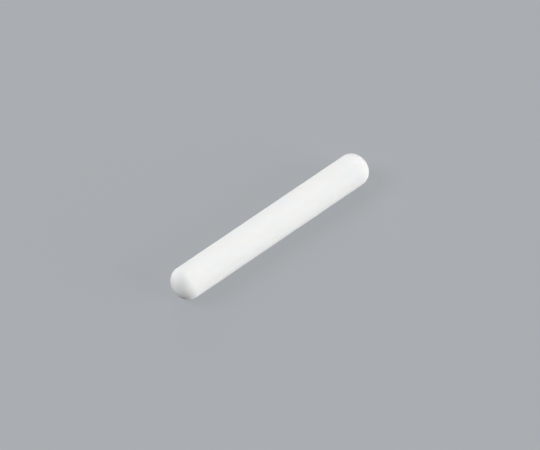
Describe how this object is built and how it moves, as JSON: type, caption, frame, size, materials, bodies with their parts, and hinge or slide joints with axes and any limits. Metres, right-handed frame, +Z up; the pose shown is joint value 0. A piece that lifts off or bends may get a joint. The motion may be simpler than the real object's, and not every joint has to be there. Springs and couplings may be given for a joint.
{
  "type": "magnetic stir bar",
  "caption": "Smooth cylindrical stir bar: a bar magnet sealed in a seamless white jacket with domed ends, spun in a vessel by a magnetic stirrer.",
  "frame": {"origin": "the middle of the bar, on its long axis, which is also its centre of mass", "axes": "+X runs along the bar, +Z is up and is the axis that the bar spins about in use, and +Y completes the right-handed frame"},
  "size_m": [0.07, 0.01, 0.01],
  "materials": {
    "jacket": "satin",
    "magnet": "matte"
  },
  "bodies": {
    "root": {"jacket": "jacket", "magnet": "magnet"}
  },
  "joints": []
}
